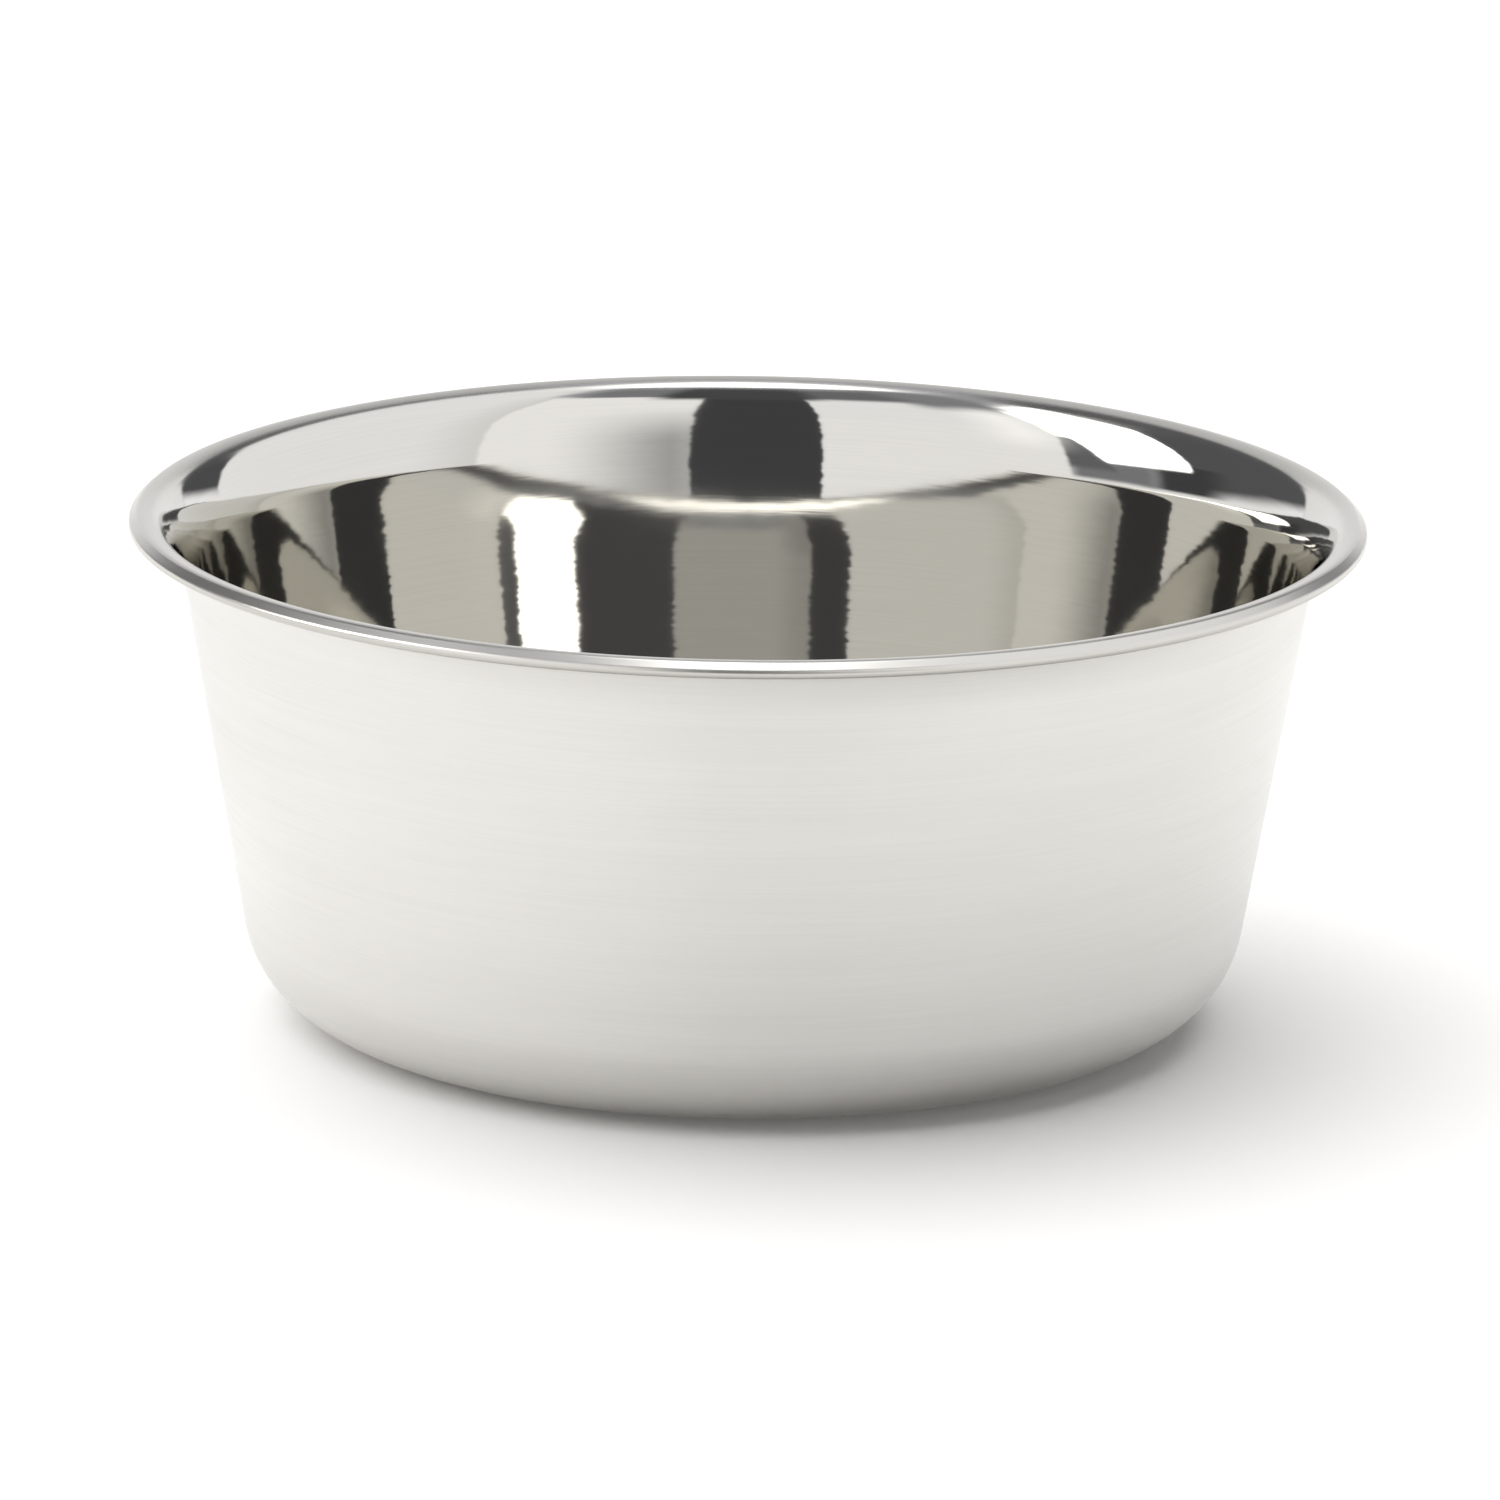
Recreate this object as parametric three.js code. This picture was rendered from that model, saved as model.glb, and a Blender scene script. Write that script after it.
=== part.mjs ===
// A deep drawn stainless steel pet bowl, made of one sheet: a shallow dished base on a flat foot ring,
// a round corner, a tapered wall, a flared lip, and an edge rolled under the lip.
// Millimetres, +Z up, with the origin on the table under the bowl's axis.

import * as THREE from "three";

const { degToRad } = THREE.MathUtils;

// Overall sizes
const RIM_DIAMETER = 210; // over the rolled edge
const HEIGHT = 86.8; // from the table to the crest of the lip
const SHEET = 0.6; // thickness of the steel

// Wall, and the corner under it, on the outside face
const WALL_LEAN = degToRad(9.7); // from the vertical
const CORNER_RADIUS = 19;

// Flared lip, on its upper face: three bends, each tighter than the last, from the wall to a level crest
const SHOULDER_RADIUS = 26;
const SHOULDER_LEAN = degToRad(25.5); // of the sheet from the vertical, where the shoulder ends
const FLARE_RADIUS = 14.4;
const FLARE_LEAN = degToRad(44); // where the flare ends
const LIP_RADIUS = 4.6;

// Edge, on its outer face: it bends over outside the crest, falls straight, then rolls under the lip
const CREST_INSET = 2; // of the crest from the rim
const EDGE_RADIUS = 1.2;
const EDGE_FALL = degToRad(42); // of the sheet from the level, down to the roll
const ROLL_BORE_RADIUS = 0.35; // hollow inside the roll
const ROLL_TURN = degToRad(210); // from there round and back under the lip

// Base, on its underside: a dish pressed up inside a flat foot ring
const FOOT_WIDTH = 14;
const DISH_RISE = 1;
const DISH_BLEND_RADIUS = 40; // between the dish and the foot ring

// Facets
const ROUND_STEPS = 64;
const CHORD_ERROR = 0.04; // most that a bend's chord leaves its arc
const SAME_POINT = 0.005; // points closer than this are one

// Directions round a bend's centre, from +R towards +Z
const OUTWARD = 0;
const UP = Math.PI / 2;
const INWARD = Math.PI;
const DOWN = (3 * Math.PI) / 2;

function along(centre, angle, distance) {
  const step = new THREE.Vector2(Math.cos(angle), Math.sin(angle));
  return centre.clone().addScaledVector(step, distance);
}

// A bend whose centre lies inside the bowl, sized on the sheet's outside face
function bendRoundInside(centre, radius, from, to) {
  return { centre, outside: radius, inside: radius - SHEET, from, to };
}

// A bend whose centre lies outside the bowl or under it, sized on the sheet's inside face
function bendRoundOutside(centre, radius, from, to) {
  return { centre, outside: radius - SHEET, inside: radius, from, to };
}

// The lip and its rolled edge, worked out from the rim inwards
function lipBends() {
  const rollRadius = ROLL_BORE_RADIUS + SHEET;
  const rimRadius = RIM_DIAMETER / 2;
  const crestRadius = rimRadius - CREST_INSET;
  const wallSide = INWARD - WALL_LEAN;
  const shoulderSide = INWARD - SHOULDER_LEAN;
  const flareSide = INWARD - FLARE_LEAN;
  const rollSide = UP - EDGE_FALL;
  const edgeCentre = new THREE.Vector2(crestRadius, HEIGHT - EDGE_RADIUS);
  const bendEnd = along(edgeCentre, rollSide, EDGE_RADIUS - rollRadius);
  const fall = (rimRadius - rollRadius - bendEnd.x) / Math.cos(EDGE_FALL);
  const rollCentre = along(bendEnd, -EDGE_FALL, fall);
  const lipCentre = new THREE.Vector2(crestRadius, HEIGHT - LIP_RADIUS);
  const flareCentre = along(lipCentre, flareSide, LIP_RADIUS - FLARE_RADIUS);
  const shoulderCentre = along(flareCentre, shoulderSide, FLARE_RADIUS - SHOULDER_RADIUS);
  return [
    bendRoundOutside(shoulderCentre, SHOULDER_RADIUS, wallSide, shoulderSide),
    bendRoundOutside(flareCentre, FLARE_RADIUS, shoulderSide, flareSide),
    bendRoundOutside(lipCentre, LIP_RADIUS, flareSide, UP),
    bendRoundOutside(edgeCentre, EDGE_RADIUS, UP, rollSide),
    bendRoundOutside(rollCentre, rollRadius, rollSide, rollSide - ROLL_TURN),
  ];
}

// The dish, foot ring and corner, set where the wall comes down from the shoulder
function baseBends(shoulder) {
  const wallTop = along(shoulder.centre, shoulder.from, shoulder.outside);
  const wallFoot = CORNER_RADIUS * (1 - Math.sin(WALL_LEAN));
  const wallFootRadius = wallTop.x - (wallTop.y - wallFoot) * Math.tan(WALL_LEAN);
  const footOuter = wallFootRadius - CORNER_RADIUS * Math.cos(WALL_LEAN);
  const footInner = footOuter - FOOT_WIDTH;
  const bothRadii = (footInner ** 2 + DISH_RISE ** 2) / (2 * DISH_RISE);
  const dishRadius = bothRadii - DISH_BLEND_RADIUS;
  const dishSweep = Math.asin(footInner / bothRadii);
  const dishCentre = new THREE.Vector2(0, DISH_RISE - dishRadius);
  const blendCentre = new THREE.Vector2(footInner, DISH_BLEND_RADIUS);
  const cornerCentre = new THREE.Vector2(footOuter, CORNER_RADIUS);
  const wallSide = OUTWARD + 2 * Math.PI - WALL_LEAN;
  return [
    bendRoundOutside(dishCentre, dishRadius + SHEET, UP, UP - dishSweep),
    bendRoundInside(blendCentre, DISH_BLEND_RADIUS, DOWN - dishSweep, DOWN),
    bendRoundInside(cornerCentre, CORNER_RADIUS, DOWN, wallSide),
  ];
}

function stepsOf(bend) {
  const radius = Math.max(bend.outside, bend.inside);
  const stepAngle = 2 * Math.acos(1 - CHORD_ERROR / radius);
  return Math.ceil(Math.abs(bend.to - bend.from) / stepAngle);
}

// One face of the sheet, from the axis to the end of the roll; straight runs lie between the bends
function facePoints(bends, face) {
  const points = [];
  bends.forEach((bend) => {
    const steps = stepsOf(bend);
    for (let i = 0; i <= steps; i++) {
      const angle = THREE.MathUtils.lerp(bend.from, bend.to, i / steps);
      points.push(along(bend.centre, angle, bend[face]));
    }
  });
  points[0].x = 0;
  return points.filter((point, i) => i === 0 || point.distanceTo(points[i - 1]) > SAME_POINT);
}

function makeBowl() {
  const lip = lipBends();
  const bends = [...baseBends(lip[0]), ...lip];
  const outside = facePoints(bends, "outside");
  const inside = facePoints(bends, "inside").reverse();
  const steel = new THREE.MeshStandardMaterial({ color: 0xd8d6d1, roughness: 0.25, metalness: 1 });
  const bowl = new THREE.Mesh(new THREE.LatheGeometry([...outside, ...inside], ROUND_STEPS), steel);
  bowl.name = "bowl";
  bowl.rotation.x = Math.PI / 2;
  return bowl;
}

const feeder = new THREE.Group();
feeder.add(makeBowl());

export default feeder;
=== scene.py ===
"""The looks of a drawn steel pet bowl: mirror polished inside and over its lip, satin outside.

Lengths are in metres and angles in degrees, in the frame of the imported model: +Z up, the table at zero.
"""
import math
from collections import namedtuple

import bpy
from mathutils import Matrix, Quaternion, Vector


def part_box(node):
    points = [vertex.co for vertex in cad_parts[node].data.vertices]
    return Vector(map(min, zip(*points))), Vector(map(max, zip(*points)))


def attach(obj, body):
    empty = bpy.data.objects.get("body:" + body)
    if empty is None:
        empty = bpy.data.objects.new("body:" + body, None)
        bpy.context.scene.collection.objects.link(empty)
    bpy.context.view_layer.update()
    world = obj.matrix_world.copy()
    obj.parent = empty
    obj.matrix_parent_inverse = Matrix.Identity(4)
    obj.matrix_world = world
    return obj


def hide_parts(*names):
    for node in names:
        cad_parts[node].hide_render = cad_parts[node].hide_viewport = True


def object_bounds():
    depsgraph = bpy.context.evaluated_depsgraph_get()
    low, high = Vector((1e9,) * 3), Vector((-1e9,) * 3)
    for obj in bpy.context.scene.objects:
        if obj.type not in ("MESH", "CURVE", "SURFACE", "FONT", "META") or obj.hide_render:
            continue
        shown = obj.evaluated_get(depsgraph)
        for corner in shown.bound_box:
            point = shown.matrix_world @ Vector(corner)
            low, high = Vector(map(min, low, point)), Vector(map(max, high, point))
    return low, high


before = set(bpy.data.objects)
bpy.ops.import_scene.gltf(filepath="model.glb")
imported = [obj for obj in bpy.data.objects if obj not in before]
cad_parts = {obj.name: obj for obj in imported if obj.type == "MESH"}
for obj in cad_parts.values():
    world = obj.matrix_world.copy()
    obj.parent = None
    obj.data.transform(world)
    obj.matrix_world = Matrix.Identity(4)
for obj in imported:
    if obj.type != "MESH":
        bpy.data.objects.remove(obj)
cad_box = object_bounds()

# Sizes of the sheet that the frame's box doesn't give
SHEET = 0.0006
WALL_LEAN = 9.7
CORNER_RADIUS = 0.019
SHOULDER_RADIUS = 0.026
SHOULDER_LEAN = 25.5
FLARE_RADIUS = 0.0144
FLARE_LEAN = 44.0
LIP_RADIUS = 0.0046
CREST_INSET = 0.002
EDGE_RADIUS = 0.0012
EDGE_FALL = 42.0
ROLL_BORE_RADIUS = 0.00035
ROLL_TURN = 210.0
FOOT_WIDTH = 0.014
DISH_RISE = 0.001
DISH_BLEND_RADIUS = 0.04

# Fineness of the mesh
ROUND_STEPS = 256
BEND_STEP = 2.5
ROLL_STEP = 7.5
CUT_EDGE_STEP = 30.0
LEAST_STEPS = 6
WALL_STEPS = 8
SAME_POINT = 0.000005

# Camera, as the photograph was taken
CAMERA_DISTANCE = 1.7655
CAMERA_ELEVATION = 14.885
CAMERA_LENS_MM = 248.3
CAMERA_SENSOR_MM = 36.0
CAMERA_ROLL = 0.747
AIM_TO_THE_RIGHT = 0.00082
AIM_ABOVE_MIDDLE = 0.00134
SIGHT = 100.0

# Lines drawn round the bowl in a finish: how far apart they lie, how often they change in a turn, and the
# detail of their noise
Lines = namedtuple("Lines", "apart per_turn detail", defaults=[2.0])

# Clouds in a finish: their size and the detail of their noise
Clouds = namedtuple("Clouds", "size detail", defaults=[3.0])

# The share of a mix, from none to all
WHOLE = (0.0, 1.0)

# Mirror steel. Tones are the values of a noise that a colour or roughness runs between, here and below.
# Insets are from the rim, and drops from the crest of the lip.
MIRROR_COLOUR = (0.655, 0.640, 0.590, 1.0)
MIRROR_COLOUR_DULL = (0.635, 0.620, 0.570, 1.0)
MIRROR_ROUGHNESS = (0.03, 0.055)
SMUDGES = Clouds(0.03)
SMUDGE_TONES = (0.35, 0.7)
POLISH_LINES = Lines(0.0004, 14)
POLISH_TONES = (0.3, 0.7)
POLISH_DEPTH = 0.0000003
WAVES = Lines(0.0025, 40)
WAVE_DEPTH = 0.0000015
DENTS = Clouds(0.008, 1.0)
DENT_DEPTH = 0.000008
SWAY_LINES = Lines(0.0012, 90)
SWAY_SLOPES = (-0.006, 0.006)
LIP_POLISH_INSETS = (0.0065, 0.0035)
LIP_POLISH_ROUGHNESS = 0.25
# Painted shade: a darker mirror colour on the underside of the rolled edge, where shade falls
PAINTED_SHADE_UNDER_ROLL_COLOUR = (0.480, 0.470, 0.445, 1.0)
PAINTED_SHADE_UNDER_ROLL_INSETS = (0.0014, 0.0008)
PAINTED_SHADE_UNDER_ROLL_DROPS = (0.0015, 0.0020)

# Satin steel
SATIN_COLOUR = (0.690, 0.680, 0.655, 1.0)
SATIN_COLOUR_DULL = (0.665, 0.655, 0.628, 1.0)
SATIN_ROUGHNESS = (0.33, 0.43)
SATIN_ANISOTROPY = 0.5
SATIN_ANISOTROPY_TURN = 0.25
BRUSH_LINES = Lines(0.00025, 16, 4.0)
BRUSH_SHARE = 0.6
BRUSH_DEPTH = 0.0000015
BANDS = Lines(0.004, 9)
BAND_SHARE = 0.4
SATIN_TONES = (0.35, 0.65)
PATCHES = Clouds(0.05)
PATCH_TONES = (0.7, 1.3)

# Studio
ROOM_COLOUR = (1.12, 1.13, 1.18, 1.0)
HORIZON_COLOUR = (1.03, 1.03, 1.03, 1.0)
HORIZON_ELEVATIONS = (1.0, 3.0)
FLOOR_REACH = 40.0
FLOOR_COLOUR = (0.90, 0.895, 0.885, 1.0)
FLOOR_ROUGHNESS = 0.9
FLOOR_GLOW = 0.07
FLOOR_LIGHT = 5.0
FLOOR_LIGHT_SPREAD = 115.0
FLOOR_LIGHT_TILT = 30.0
FLOOR_LIGHT_TURN = -135.0
GLOSSY_BOUNCES = 10
ALL_BOUNCES = 12

# A card of light or shade in the studio. Azimuth 0 is behind the camera, 90 to its right and 180 behind the
# bowl. A soft edge runs half inside and half outside the card. A slanted card goes so far across for each
# degree up. A later card covers the ones before it.
Card = namedtuple("Card", "name azimuths elevations soft_across soft_up light tint slant", defaults=[0])
COOL = (0.98, 1.00, 1.11)
PLAIN = (1.00, 1.00, 1.03)
CARDS = [
    Card("ceiling", (-225, 62), (60, 119), 8, 4, 0.44, COOL),
    Card("ceiling over the back wall", (153, 211.5), (48, 66), 1.5, 4, 0.44, COOL),
    Card("overhead light", (-180, 180), (77, 101), 5, 6, 3.5, PLAIN),
    Card("dark ceiling in front", (-66, 20), (58, 72), 14, 6, 0.20, COOL),
    Card("ceiling in front on the right", (16, 54), (58, 72), 10, 6, 0.27, COOL),
    Card("shade beyond the right panel", (52, 66), (-30, 60), 24, 6, 0.93, PLAIN),
    Card("right panel", (5, 59), (-30, 59), 1.5, 2, 1.20, PLAIN),
    Card("shade beside the stand", (6, 27), (-30, 30), 36, 34, 0.42, PLAIN),
    Card("back wall", (153, 211.5), (-5, 50.5), 1.5, 2, 0.69, PLAIN),
    Card("dim edge of the back wall", (148, 163), (24, 60), 14, 10, 0.48, PLAIN),
    Card("foot of the back wall", (153, 211.5), (-30, 21), 2, 5, 1.03, PLAIN),
    Card("dark back left", (-148.5, -103), (8, 66), 1.5, 6, 0.12, COOL),
    Card("dark back right", (136, 153), (8, 66), 1.5, 6, 0.10, COOL),
    Card("low dark left", (-114, -92), (6, 19), 12, 2, 0.07, COOL),
    Card("dim wall left", (-94, -71), (6, 19), 6, 3, 0.26, COOL),
    Card("left light", (-105.5, -71), (17, 58), 2, 2, 4.0, PLAIN),
    Card("cut corner of the left light", (-78, -48), (52, 78), 14, 10, 0.30, COOL),
    Card("back corner of the left light", (-136, -96), (44, 62), 3, 4, 0.12, COOL, 1.0),
    Card("gap by the left light", (-78.8, -60), (12, 31), 1.5, 4, 0.17, COOL, 0.5),
    Card("wall beside the gap", (-71, -16), (-30, 34), 1.5, 4, 1.15, PLAIN),
    Card("glow by the left light", (-70, -56), (24, 52), 18, 14, 1.40, PLAIN),
    Card("camera stand", (-15.5, 12.5), (3.5, 66), 0.8, 4, 0.07, COOL),
    Card("top of the camera stand", (-19, 26), (56, 74), 10, 6, 0.09, COOL),
]

# A bend of the sheet: its centre, the radius of each face, and the angles that it turns between, from +R
# towards +Z. Side is 1 where the centre lies inside the bowl, and -1 where it lies outside or under it.
Bend = namedtuple("Bend", "centre outside inside start end side")

# A point of the sheet's section and the normal there, both as (radius, height)
Point = namedtuple("Point", "place normal")

# A place on the turned bowl: the way round as a flat unit vector, a measure that grows along each face of
# the sheet, the distance from the axis and the height
Turned = namedtuple("Turned", "around along radius height")


def towards(angle):
    turn = math.radians(angle)
    return Vector((math.cos(turn), math.sin(turn)))


def bend_round_inside(centre, radius, start, end):
    return Bend(centre, radius, radius - SHEET, start, end, 1)


def bend_round_outside(centre, radius, start, end):
    return Bend(centre, radius - SHEET, radius, start, end, -1)


def lip_bends(rim_radius, height):
    """The shoulder, flare, lip, falling edge and roll, worked out from the rim inwards."""
    roll_radius = ROLL_BORE_RADIUS + SHEET
    crest = rim_radius - CREST_INSET
    wall_side = 180 - WALL_LEAN
    shoulder_side = 180 - SHOULDER_LEAN
    flare_side = 180 - FLARE_LEAN
    roll_side = 90 - EDGE_FALL
    edge_centre = Vector((crest, height - EDGE_RADIUS))
    bent = edge_centre + (EDGE_RADIUS - roll_radius) * towards(roll_side)
    fall = (rim_radius - roll_radius - bent.x) / math.cos(math.radians(EDGE_FALL))
    roll_centre = bent + fall * towards(-EDGE_FALL)
    lip_centre = Vector((crest, height - LIP_RADIUS))
    flare_centre = lip_centre + (LIP_RADIUS - FLARE_RADIUS) * towards(flare_side)
    shoulder_centre = flare_centre + (FLARE_RADIUS - SHOULDER_RADIUS) * towards(shoulder_side)
    return [
        bend_round_outside(shoulder_centre, SHOULDER_RADIUS, wall_side, shoulder_side),
        bend_round_outside(flare_centre, FLARE_RADIUS, shoulder_side, flare_side),
        bend_round_outside(lip_centre, LIP_RADIUS, flare_side, 90),
        bend_round_outside(edge_centre, EDGE_RADIUS, 90, roll_side),
        bend_round_outside(roll_centre, roll_radius, roll_side, roll_side - ROLL_TURN),
    ]


def base_bends(shoulder):
    """The dish, its blend into the foot ring, and the corner, set where the wall comes down."""
    lean = math.radians(WALL_LEAN)
    wall_top = shoulder.centre + shoulder.outside * towards(shoulder.start)
    wall_foot = CORNER_RADIUS * (1 - math.sin(lean))
    wall_foot_radius = wall_top.x - (wall_top.y - wall_foot) * math.tan(lean)
    foot_outer = wall_foot_radius - CORNER_RADIUS * math.cos(lean)
    foot_inner = foot_outer - FOOT_WIDTH
    both_radii = (foot_inner ** 2 + DISH_RISE ** 2) / (2 * DISH_RISE)
    dish_radius = both_radii - DISH_BLEND_RADIUS
    sweep = math.degrees(math.asin(foot_inner / both_radii))
    dish_centre = Vector((0, DISH_RISE - dish_radius))
    blend_centre = Vector((foot_inner, DISH_BLEND_RADIUS))
    corner_centre = Vector((foot_outer, CORNER_RADIUS))
    return [
        bend_round_outside(dish_centre, dish_radius + SHEET, 90, 90 - sweep),
        bend_round_inside(blend_centre, DISH_BLEND_RADIUS, 270 - sweep, 270),
        bend_round_inside(corner_centre, CORNER_RADIUS, 270, 360 - WALL_LEAN),
    ]


def arc_points(centre, radius, start, end, side, step):
    steps = max(LEAST_STEPS, math.ceil(abs(end - start) / step))
    angles = [start + (end - start) * i / steps for i in range(steps + 1)]
    return [Point(centre + radius * towards(a), side * towards(a)) for a in angles]


def run_between(first, second):
    """The points of a straight run between two points of the section, without its ends."""
    shares = [i / WALL_STEPS for i in range(1, WALL_STEPS)]
    return [Point(first.place.lerp(second.place, share), first.normal) for share in shares]


def face_points(bends, face):
    """One face of the sheet from the axis to the end of the roll, with straight runs between the bends."""
    points = []
    for bend in bends:
        side = bend.side if face == "outside" else -bend.side
        step = ROLL_STEP if bend is bends[-1] else BEND_STEP
        arc = arc_points(bend.centre, getattr(bend, face), bend.start, bend.end, side, step)
        if not points:
            points += arc
        elif (arc[0].place - points[-1].place).length > SAME_POINT:
            points += run_between(points[-1], arc[0]) + arc
        else:
            points += arc[1:]
    points[0].place.x = 0
    return points


def section(rim_radius, height):
    """The sheet's section, up the outside face and back down the inside, and where the inside starts."""
    lip = lip_bends(rim_radius, height)
    bends = base_bends(lip[0]) + lip
    outside = face_points(bends, "outside")
    inside = face_points(bends, "inside")[::-1]
    roll = lip[-1]
    cut_centre = roll.centre + (roll.outside + roll.inside) / 2 * towards(roll.end)
    cut_edge = arc_points(cut_centre, SHEET / 2, roll.end + 180, roll.end + 360, 1, CUT_EDGE_STEP)
    outside += cut_edge[1:-1]
    return outside + inside, len(outside)


def ring(pair):
    """A place or a normal of the section, turned about the axis."""
    ways = [towards(360 * i / ROUND_STEPS) for i in range(ROUND_STEPS)]
    return [(*(pair.x * way), pair.y) for way in ways]


def turned_points(points):
    """The places and normals of the turned section: a point on the axis at each end, and rings between."""
    places = [(0, 0, points[0].place.y)]
    normals = [(0, 0, -1)]
    for point in points[1:-1]:
        places += ring(point.place)
        normals += ring(point.normal)
    places.append((0, 0, points[-1].place.y))
    normals.append((0, 0, 1))
    return places, normals


def turned_face(band, last_band, i):
    """One face of a band between two points of the section: a triangle where the band meets the axis."""
    j = (i + 1) % ROUND_STEPS
    here = 1 + (band - 1) * ROUND_STEPS
    there = here + ROUND_STEPS
    if band == 0:
        return (0, there + j, there + i)
    if band == last_band:
        return (here + i, here + j, there)
    return (here + i, here + j, there + j, there + i)


def map_corners(band, last_band, i, low, high):
    """The corners of the same face on the map of (way round, way along)."""
    left = i / ROUND_STEPS
    right = (i + 1) / ROUND_STEPS
    middle = (left + right) / 2
    if band == 0:
        return [(middle, low), (right, high), (left, high)]
    if band == last_band:
        return [(left, low), (right, low), (middle, high)]
    return [(left, low), (right, low), (right, high), (left, high)]


def ways_along(points):
    """How far along the section each point lies, as a share of its length."""
    lengths = [0]
    for first, second in zip(points, points[1:]):
        lengths.append(lengths[-1] + (second.place - first.place).length)
    return [length / lengths[-1] for length in lengths]


def turned_mesh(name, points, first_inside):
    """The section turned about the axis, with exact normals. Material 0 is the inside, 1 the outside."""
    places, normals = turned_points(points)
    along = ways_along(points)
    last_band = len(points) - 2
    faces = []
    corners = []
    finishes = []
    for band in range(last_band + 1):
        for i in range(ROUND_STEPS):
            faces.append(turned_face(band, last_band, i))
            corners += map_corners(band, last_band, i, along[band], along[band + 1])
            finishes.append(int(band < first_inside - 1))
    mesh = bpy.data.meshes.new(name)
    mesh.from_pydata(places, [], faces, shade_flat=False)
    mesh.polygons.foreach_set("material_index", finishes)
    flat_corners = [value for corner in corners for value in corner]
    mesh.uv_layers.new(name="OFBake").data.foreach_set("uv", flat_corners)
    mesh.normals_split_custom_set_from_vertices(normals)
    mesh.validate()
    return mesh


def node(tree, kind, inputs, **settings):
    """A shader node with its settings, and its inputs set or linked."""
    made = tree.nodes.new("ShaderNode" + kind)
    for name, value in settings.items():
        setattr(made, name, value)
    for key, value in inputs.items():
        if isinstance(value, bpy.types.NodeSocket):
            tree.links.new(value, made.inputs[key])
        else:
            made.inputs[key].default_value = value
    return made


def maths(tree, operation, *values):
    return node(tree, "Math", dict(enumerate(values)), operation=operation).outputs[0]


def vector_maths(tree, operation, inputs):
    return node(tree, "VectorMath", inputs, operation=operation).outputs[0]


def mapped(tree, value, span, to_span=WHOLE, smooth=False):
    """A value carried from one span to another, and held at the ends."""
    low, high = span
    to_low, to_high = to_span
    inputs = {"Value": value, "From Min": low, "From Max": high, "To Min": to_low, "To Max": to_high}
    kind = "SMOOTHSTEP" if smooth else "LINEAR"
    return node(tree, "MapRange", inputs, interpolation_type=kind).outputs["Result"]


def mixed(tree, share, first, second):
    """Two colours mixed by a share."""
    made = node(tree, "Mix", {0: share, 6: first, 7: second}, data_type="RGBA")
    return made.outputs[2]


def turned_place(tree):
    place = node(tree, "TexCoord", {}).outputs["Object"]
    flat = vector_maths(tree, "MULTIPLY", {0: place, 1: (1, 1, 0)})
    around = vector_maths(tree, "NORMALIZE", {0: flat})
    radius = node(tree, "VectorMath", {0: flat}, operation="LENGTH").outputs["Value"]
    height = node(tree, "SeparateXYZ", {0: place}).outputs["Z"]
    return Turned(around, maths(tree, "ADD", radius, height), radius, height)


def line_noise(tree, turned, lines):
    """Noise drawn out round the axis."""
    rows = node(tree, "CombineXYZ", {"Z": maths(tree, "DIVIDE", turned.along, lines.apart)}).outputs[0]
    spread = lines.per_turn / (2 * math.pi)
    place = vector_maths(tree, "MULTIPLY_ADD", {0: turned.around, 1: (spread, spread, 0), 2: rows})
    return node(tree, "TexNoise", {"Vector": place, "Scale": 1.0, "Detail": lines.detail}).outputs["Fac"]


def cloud_noise(tree, clouds):
    place = node(tree, "TexCoord", {}).outputs["Object"]
    inputs = {"Vector": place, "Scale": 1 / clouds.size, "Detail": clouds.detail}
    return node(tree, "TexNoise", inputs).outputs["Fac"]


def tangent_round(tree):
    return node(tree, "Tangent", {}, direction_type="RADIAL", axis="Z").outputs[0]


def swayed_normal(tree, sway):
    """The surface's normal, leaned by the sway round the axis."""
    normal = node(tree, "NewGeometry", {}).outputs["Normal"]
    lean = vector_maths(tree, "SCALE", {0: tangent_round(tree), "Scale": sway})
    leaned = vector_maths(tree, "ADD", {0: normal, 1: lean})
    return vector_maths(tree, "NORMALIZE", {0: leaned})


def bumped_normal(tree, pattern, depth, normal=None):
    """The normal of a surface that a pattern raises by up to a depth, over another normal where given."""
    inputs = {"Height": pattern, "Strength": 1.0, "Distance": depth}
    if normal is not None:
        inputs["Normal"] = normal
    return node(tree, "Bump", inputs).outputs[0]


def new_material(name):
    material = bpy.data.materials.new(name)
    material.use_nodes = True
    return material, material.node_tree.nodes["Principled BSDF"]


def link_metal(tree, shader, colour, roughness, normal):
    shader.inputs["Metallic"].default_value = 1.0
    tree.links.new(colour, shader.inputs["Base Color"])
    tree.links.new(roughness, shader.inputs["Roughness"])
    tree.links.new(normal, shader.inputs["Normal"])


def set_in(limit, insets):
    return [limit - inset for inset in insets]


def mirror_colour(tree, turned, lines, rim_radius, height):
    """Pale steel with duller polishing lines, and painted shade under the roll."""
    colour = mixed(tree, mapped(tree, lines, POLISH_TONES), MIRROR_COLOUR, MIRROR_COLOUR_DULL)
    # Painted shade under the roll: darker out towards the rim and down below the crest
    outward = mapped(tree, turned.radius, set_in(rim_radius, PAINTED_SHADE_UNDER_ROLL_INSETS))
    downward = mapped(tree, turned.height, set_in(height, PAINTED_SHADE_UNDER_ROLL_DROPS))
    painted_shade_under_roll = maths(tree, "MULTIPLY", outward, downward)
    return mixed(tree, painted_shade_under_roll, colour, PAINTED_SHADE_UNDER_ROLL_COLOUR)


def mirror_roughness(tree, turned, rim_radius):
    """Smudges all over, and a softer polish on the lip."""
    smudges = mapped(tree, cloud_noise(tree, SMUDGES), SMUDGE_TONES, MIRROR_ROUGHNESS)
    lip_span = set_in(rim_radius, LIP_POLISH_INSETS)
    lip = mapped(tree, turned.radius, lip_span, (0.0, LIP_POLISH_ROUGHNESS), smooth=True)
    return maths(tree, "ADD", lip, smudges)


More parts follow.
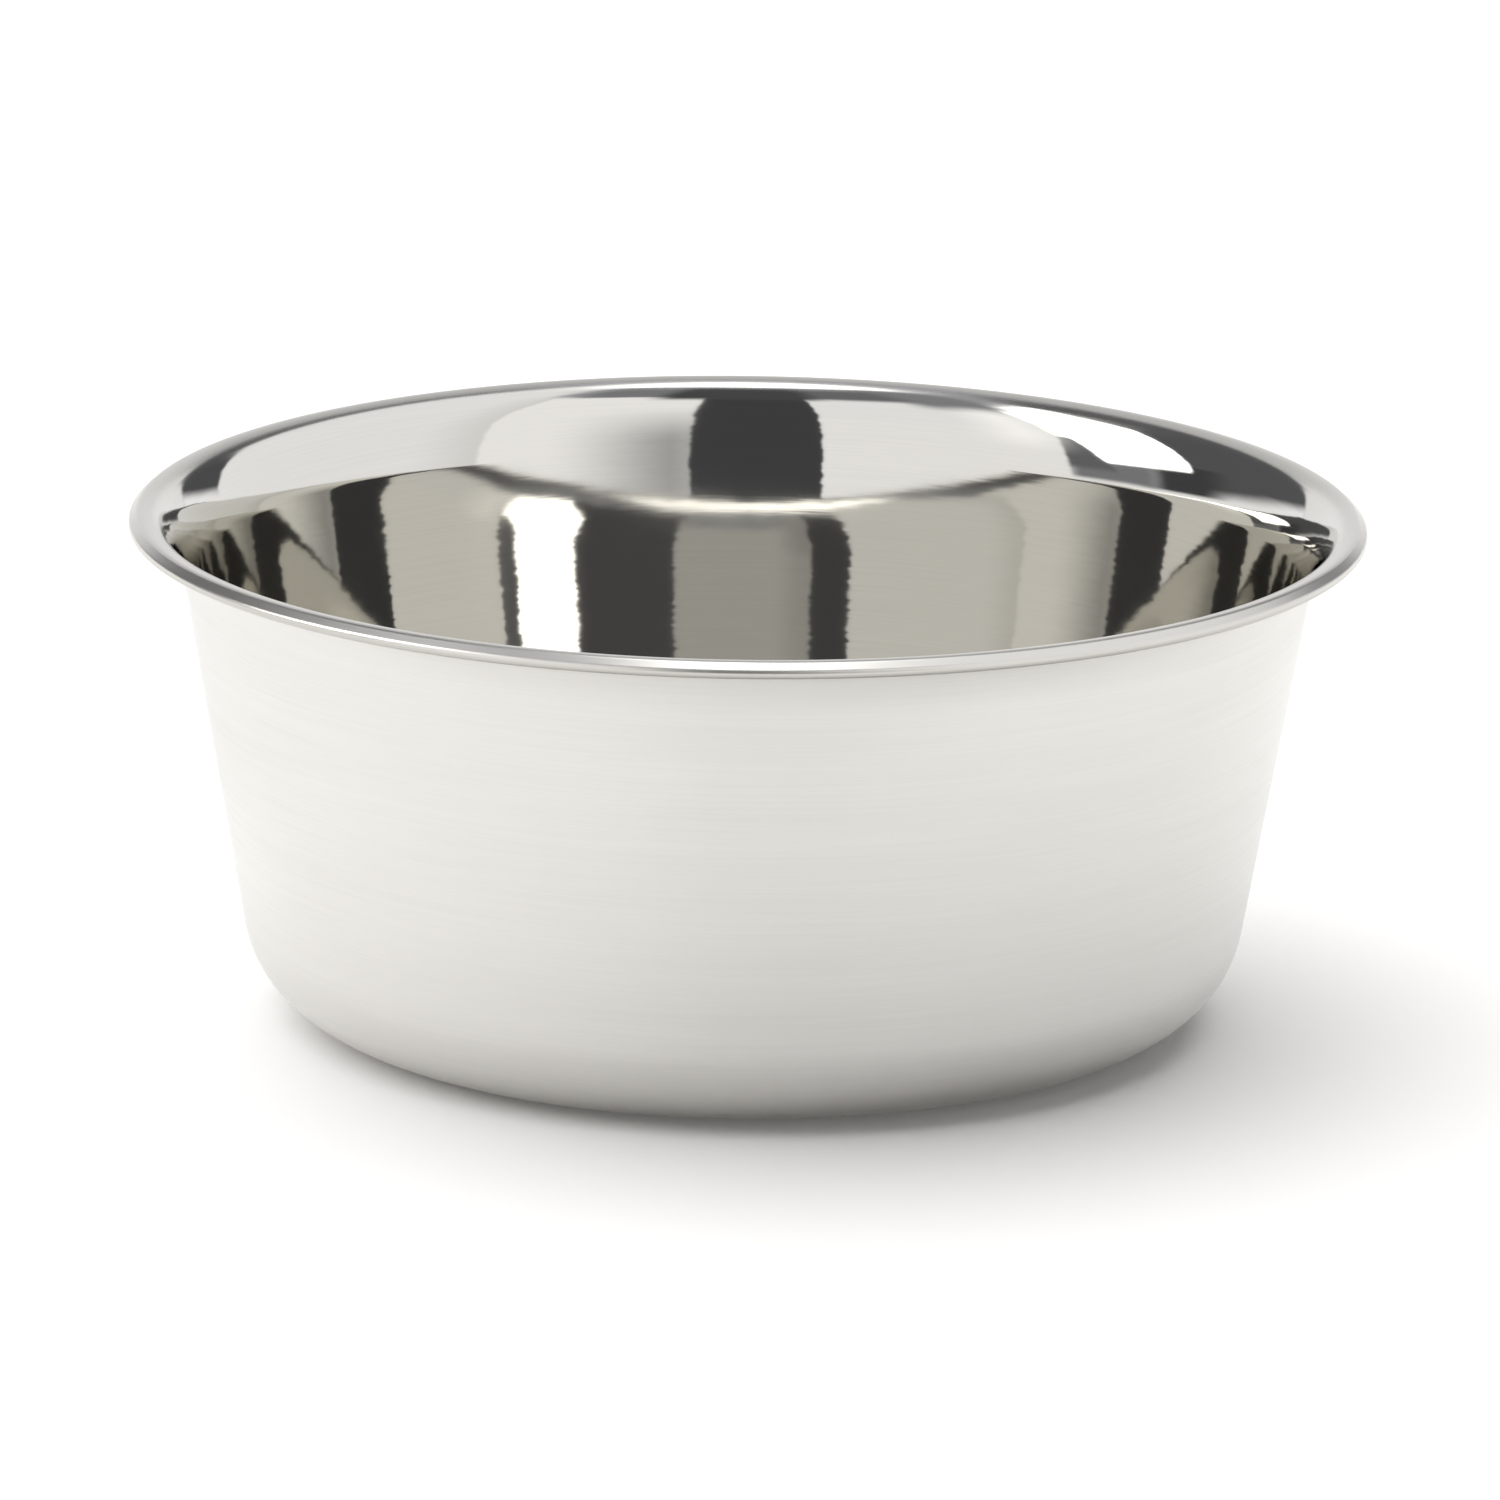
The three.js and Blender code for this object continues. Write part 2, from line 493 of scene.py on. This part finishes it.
def mirror_normal(tree, turned, lines):
    """A sway round the axis that breaks the edges of mirror images, with dents, waves and fine lines."""
    sway = mapped(tree, line_noise(tree, turned, SWAY_LINES), WHOLE, SWAY_SLOPES)
    swayed = swayed_normal(tree, sway)
    dented = bumped_normal(tree, cloud_noise(tree, DENTS), DENT_DEPTH, swayed)
    wavy = bumped_normal(tree, line_noise(tree, turned, WAVES), WAVE_DEPTH, dented)
    return bumped_normal(tree, lines, POLISH_DEPTH, wavy)


def mirror_steel(rim_radius, height):
    """Buffed steel: a mirror with faint waves, finer lines and smudges, softer on the lip."""
    material, shader = new_material("mirror_steel")
    tree = material.node_tree
    turned = turned_place(tree)
    lines = line_noise(tree, turned, POLISH_LINES)
    colour = mirror_colour(tree, turned, lines, rim_radius, height)
    roughness = mirror_roughness(tree, turned, rim_radius)
    link_metal(tree, shader, colour, roughness, mirror_normal(tree, turned, lines))
    return material


def satin_steel():
    """Brushed steel: fine lines round the bowl over broader bands, with duller patches."""
    material, shader = new_material("satin_steel")
    tree = material.node_tree
    turned = turned_place(tree)
    lines = line_noise(tree, turned, BRUSH_LINES)
    bands = maths(tree, "MULTIPLY", line_noise(tree, turned, BANDS), BAND_SHARE)
    tone = maths(tree, "MULTIPLY_ADD", lines, BRUSH_SHARE, bands)
    colour = mixed(tree, mapped(tree, tone, SATIN_TONES), SATIN_COLOUR, SATIN_COLOUR_DULL)
    patches = maths(tree, "ADD", cloud_noise(tree, PATCHES), lines)
    roughness = mapped(tree, patches, PATCH_TONES, SATIN_ROUGHNESS)
    link_metal(tree, shader, colour, roughness, bumped_normal(tree, lines, BRUSH_DEPTH))
    shader.inputs["Anisotropic"].default_value = SATIN_ANISOTROPY
    shader.inputs["Anisotropic Rotation"].default_value = SATIN_ANISOTROPY_TURN
    tree.links.new(tangent_round(tree), shader.inputs["Tangent"])
    return material


def make_bowl():
    low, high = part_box("bowl")
    rim_radius = (high.x - low.x) / 2
    height = high.z - low.z
    points, first_inside = section(rim_radius, height)
    bowl = bpy.data.objects.new("drawn_bowl", turned_mesh("drawn_bowl", points, first_inside))
    bowl.data.materials.append(mirror_steel(rim_radius, height))
    bowl.data.materials.append(satin_steel())
    bpy.context.collection.objects.link(bowl)
    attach(bowl, "root")
    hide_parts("bowl")


def pale_floor():
    """A matt floor with a faint glow, which keeps the bowl's shade on it light."""
    material, shader = new_material("pale_floor")
    shader.inputs["Base Color"].default_value = FLOOR_COLOUR
    shader.inputs["Roughness"].default_value = FLOOR_ROUGHNESS
    shader.inputs["Specular IOR Level"].default_value = 0.0
    shader.inputs["Emission Color"].default_value = FLOOR_COLOUR
    shader.inputs["Emission Strength"].default_value = FLOOR_GLOW
    return material


def make_floor():
    mesh = bpy.data.meshes.new("floor")
    corners = [(x * FLOOR_REACH, y * FLOOR_REACH, 0) for x, y in ((-1, -1), (1, -1), (1, 1), (-1, 1))]
    mesh.from_pydata(corners, [], [(0, 1, 2, 3)])
    mesh.materials.append(pale_floor())
    floor = bpy.data.objects.new("floor", mesh)
    bpy.context.collection.objects.link(floor)


def make_floor_light():
    """A soft light from above that whitens the floor and isn't seen in the steel."""
    light = bpy.data.lights.new("floor_light", "SUN")
    light.energy = FLOOR_LIGHT
    light.angle = math.radians(FLOOR_LIGHT_SPREAD)
    lamp = bpy.data.objects.new("floor_light", light)
    lamp.visible_glossy = False
    lamp.rotation_euler = (math.radians(FLOOR_LIGHT_TILT), 0, math.radians(FLOOR_LIGHT_TURN))
    bpy.context.collection.objects.link(lamp)


def within(tree, value, limits, soft, comes_round=False):
    """1 between the limits and 0 outside, with soft edges. An azimuth comes round again."""
    middle = (limits[0] + limits[1]) / 2
    half = (limits[1] - limits[0]) / 2
    off = maths(tree, "SUBTRACT", value, middle)
    if comes_round:
        off = maths(tree, "WRAP", off, 180.0, -180.0)
    span = (half - soft / 2, half + soft / 2)
    return mapped(tree, maths(tree, "ABSOLUTE", off), span, (1.0, 0.0), smooth=True)


def sight_angles(tree):
    """The azimuth and elevation that the studio is seen at."""
    sight = node(tree, "TexCoord", {}).outputs["Generated"]
    x, y, z = node(tree, "SeparateXYZ", {0: sight}).outputs
    to_front = maths(tree, "MULTIPLY", y, -1.0)
    azimuth = maths(tree, "DEGREES", maths(tree, "ARCTAN2", x, to_front))
    elevation = maths(tree, "DEGREES", maths(tree, "ARCSINE", z))
    return azimuth, elevation


def card_share(tree, card, azimuth, elevation):
    """1 on a card and 0 beside it."""
    if card.slant:
        above_middle = maths(tree, "SUBTRACT", elevation, sum(card.elevations) / 2)
        azimuth = maths(tree, "SUBTRACT", azimuth, maths(tree, "MULTIPLY", above_middle, card.slant))
    across = within(tree, azimuth, card.azimuths, card.soft_across, comes_round=True)
    up = within(tree, elevation, card.elevations, card.soft_up)
    return maths(tree, "MULTIPLY", across, up)


def make_studio():
    """A pale room with cards of light and shade, far enough away to reach all of the bowl alike."""
    world = bpy.data.worlds.new("studio")
    bpy.context.scene.world = world
    world.use_nodes = True
    world.cycles_visibility.diffuse = False
    tree = world.node_tree
    azimuth, elevation = sight_angles(tree)
    colour = ROOM_COLOUR
    for card in CARDS:
        light = [card.light * part for part in card.tint]
        colour = mixed(tree, card_share(tree, card, azimuth, elevation), colour, (*light, 1.0))
    over_horizon = mapped(tree, elevation, HORIZON_ELEVATIONS, smooth=True)
    colour = mixed(tree, over_horizon, HORIZON_COLOUR, colour)
    tree.links.new(colour, tree.nodes["Background"].inputs["Color"])


def make_camera():
    low, high = cad_box
    middle = (low + high) / 2
    camera = bpy.data.objects.new("camera", bpy.data.cameras.new("camera"))
    camera.data.lens = CAMERA_LENS_MM
    camera.data.sensor_width = CAMERA_SENSOR_MM
    camera.data.clip_end = SIGHT
    back = towards(CAMERA_ELEVATION)
    camera.location = middle + CAMERA_DISTANCE * Vector((0, -back.x, back.y))
    aim = middle + Vector((AIM_TO_THE_RIGHT, 0, AIM_ABOVE_MIDDLE))
    sight = (aim - camera.location).to_track_quat("-Z", "Y")
    camera.rotation_mode = "QUATERNION"
    camera.rotation_quaternion = sight @ Quaternion((0, 0, 1), math.radians(CAMERA_ROLL))
    bpy.context.collection.objects.link(camera)
    bpy.context.scene.camera = camera


def set_light_paths():
    """Enough reflections for the inside, where mirror faces mirror, and colours shown as they are."""
    scene = bpy.context.scene
    scene.cycles.max_bounces = ALL_BOUNCES
    scene.cycles.glossy_bounces = GLOSSY_BOUNCES
    scene.view_settings.view_transform = "Standard"


make_bowl()
make_floor()
make_floor_light()
make_studio()
make_camera()
set_light_paths()
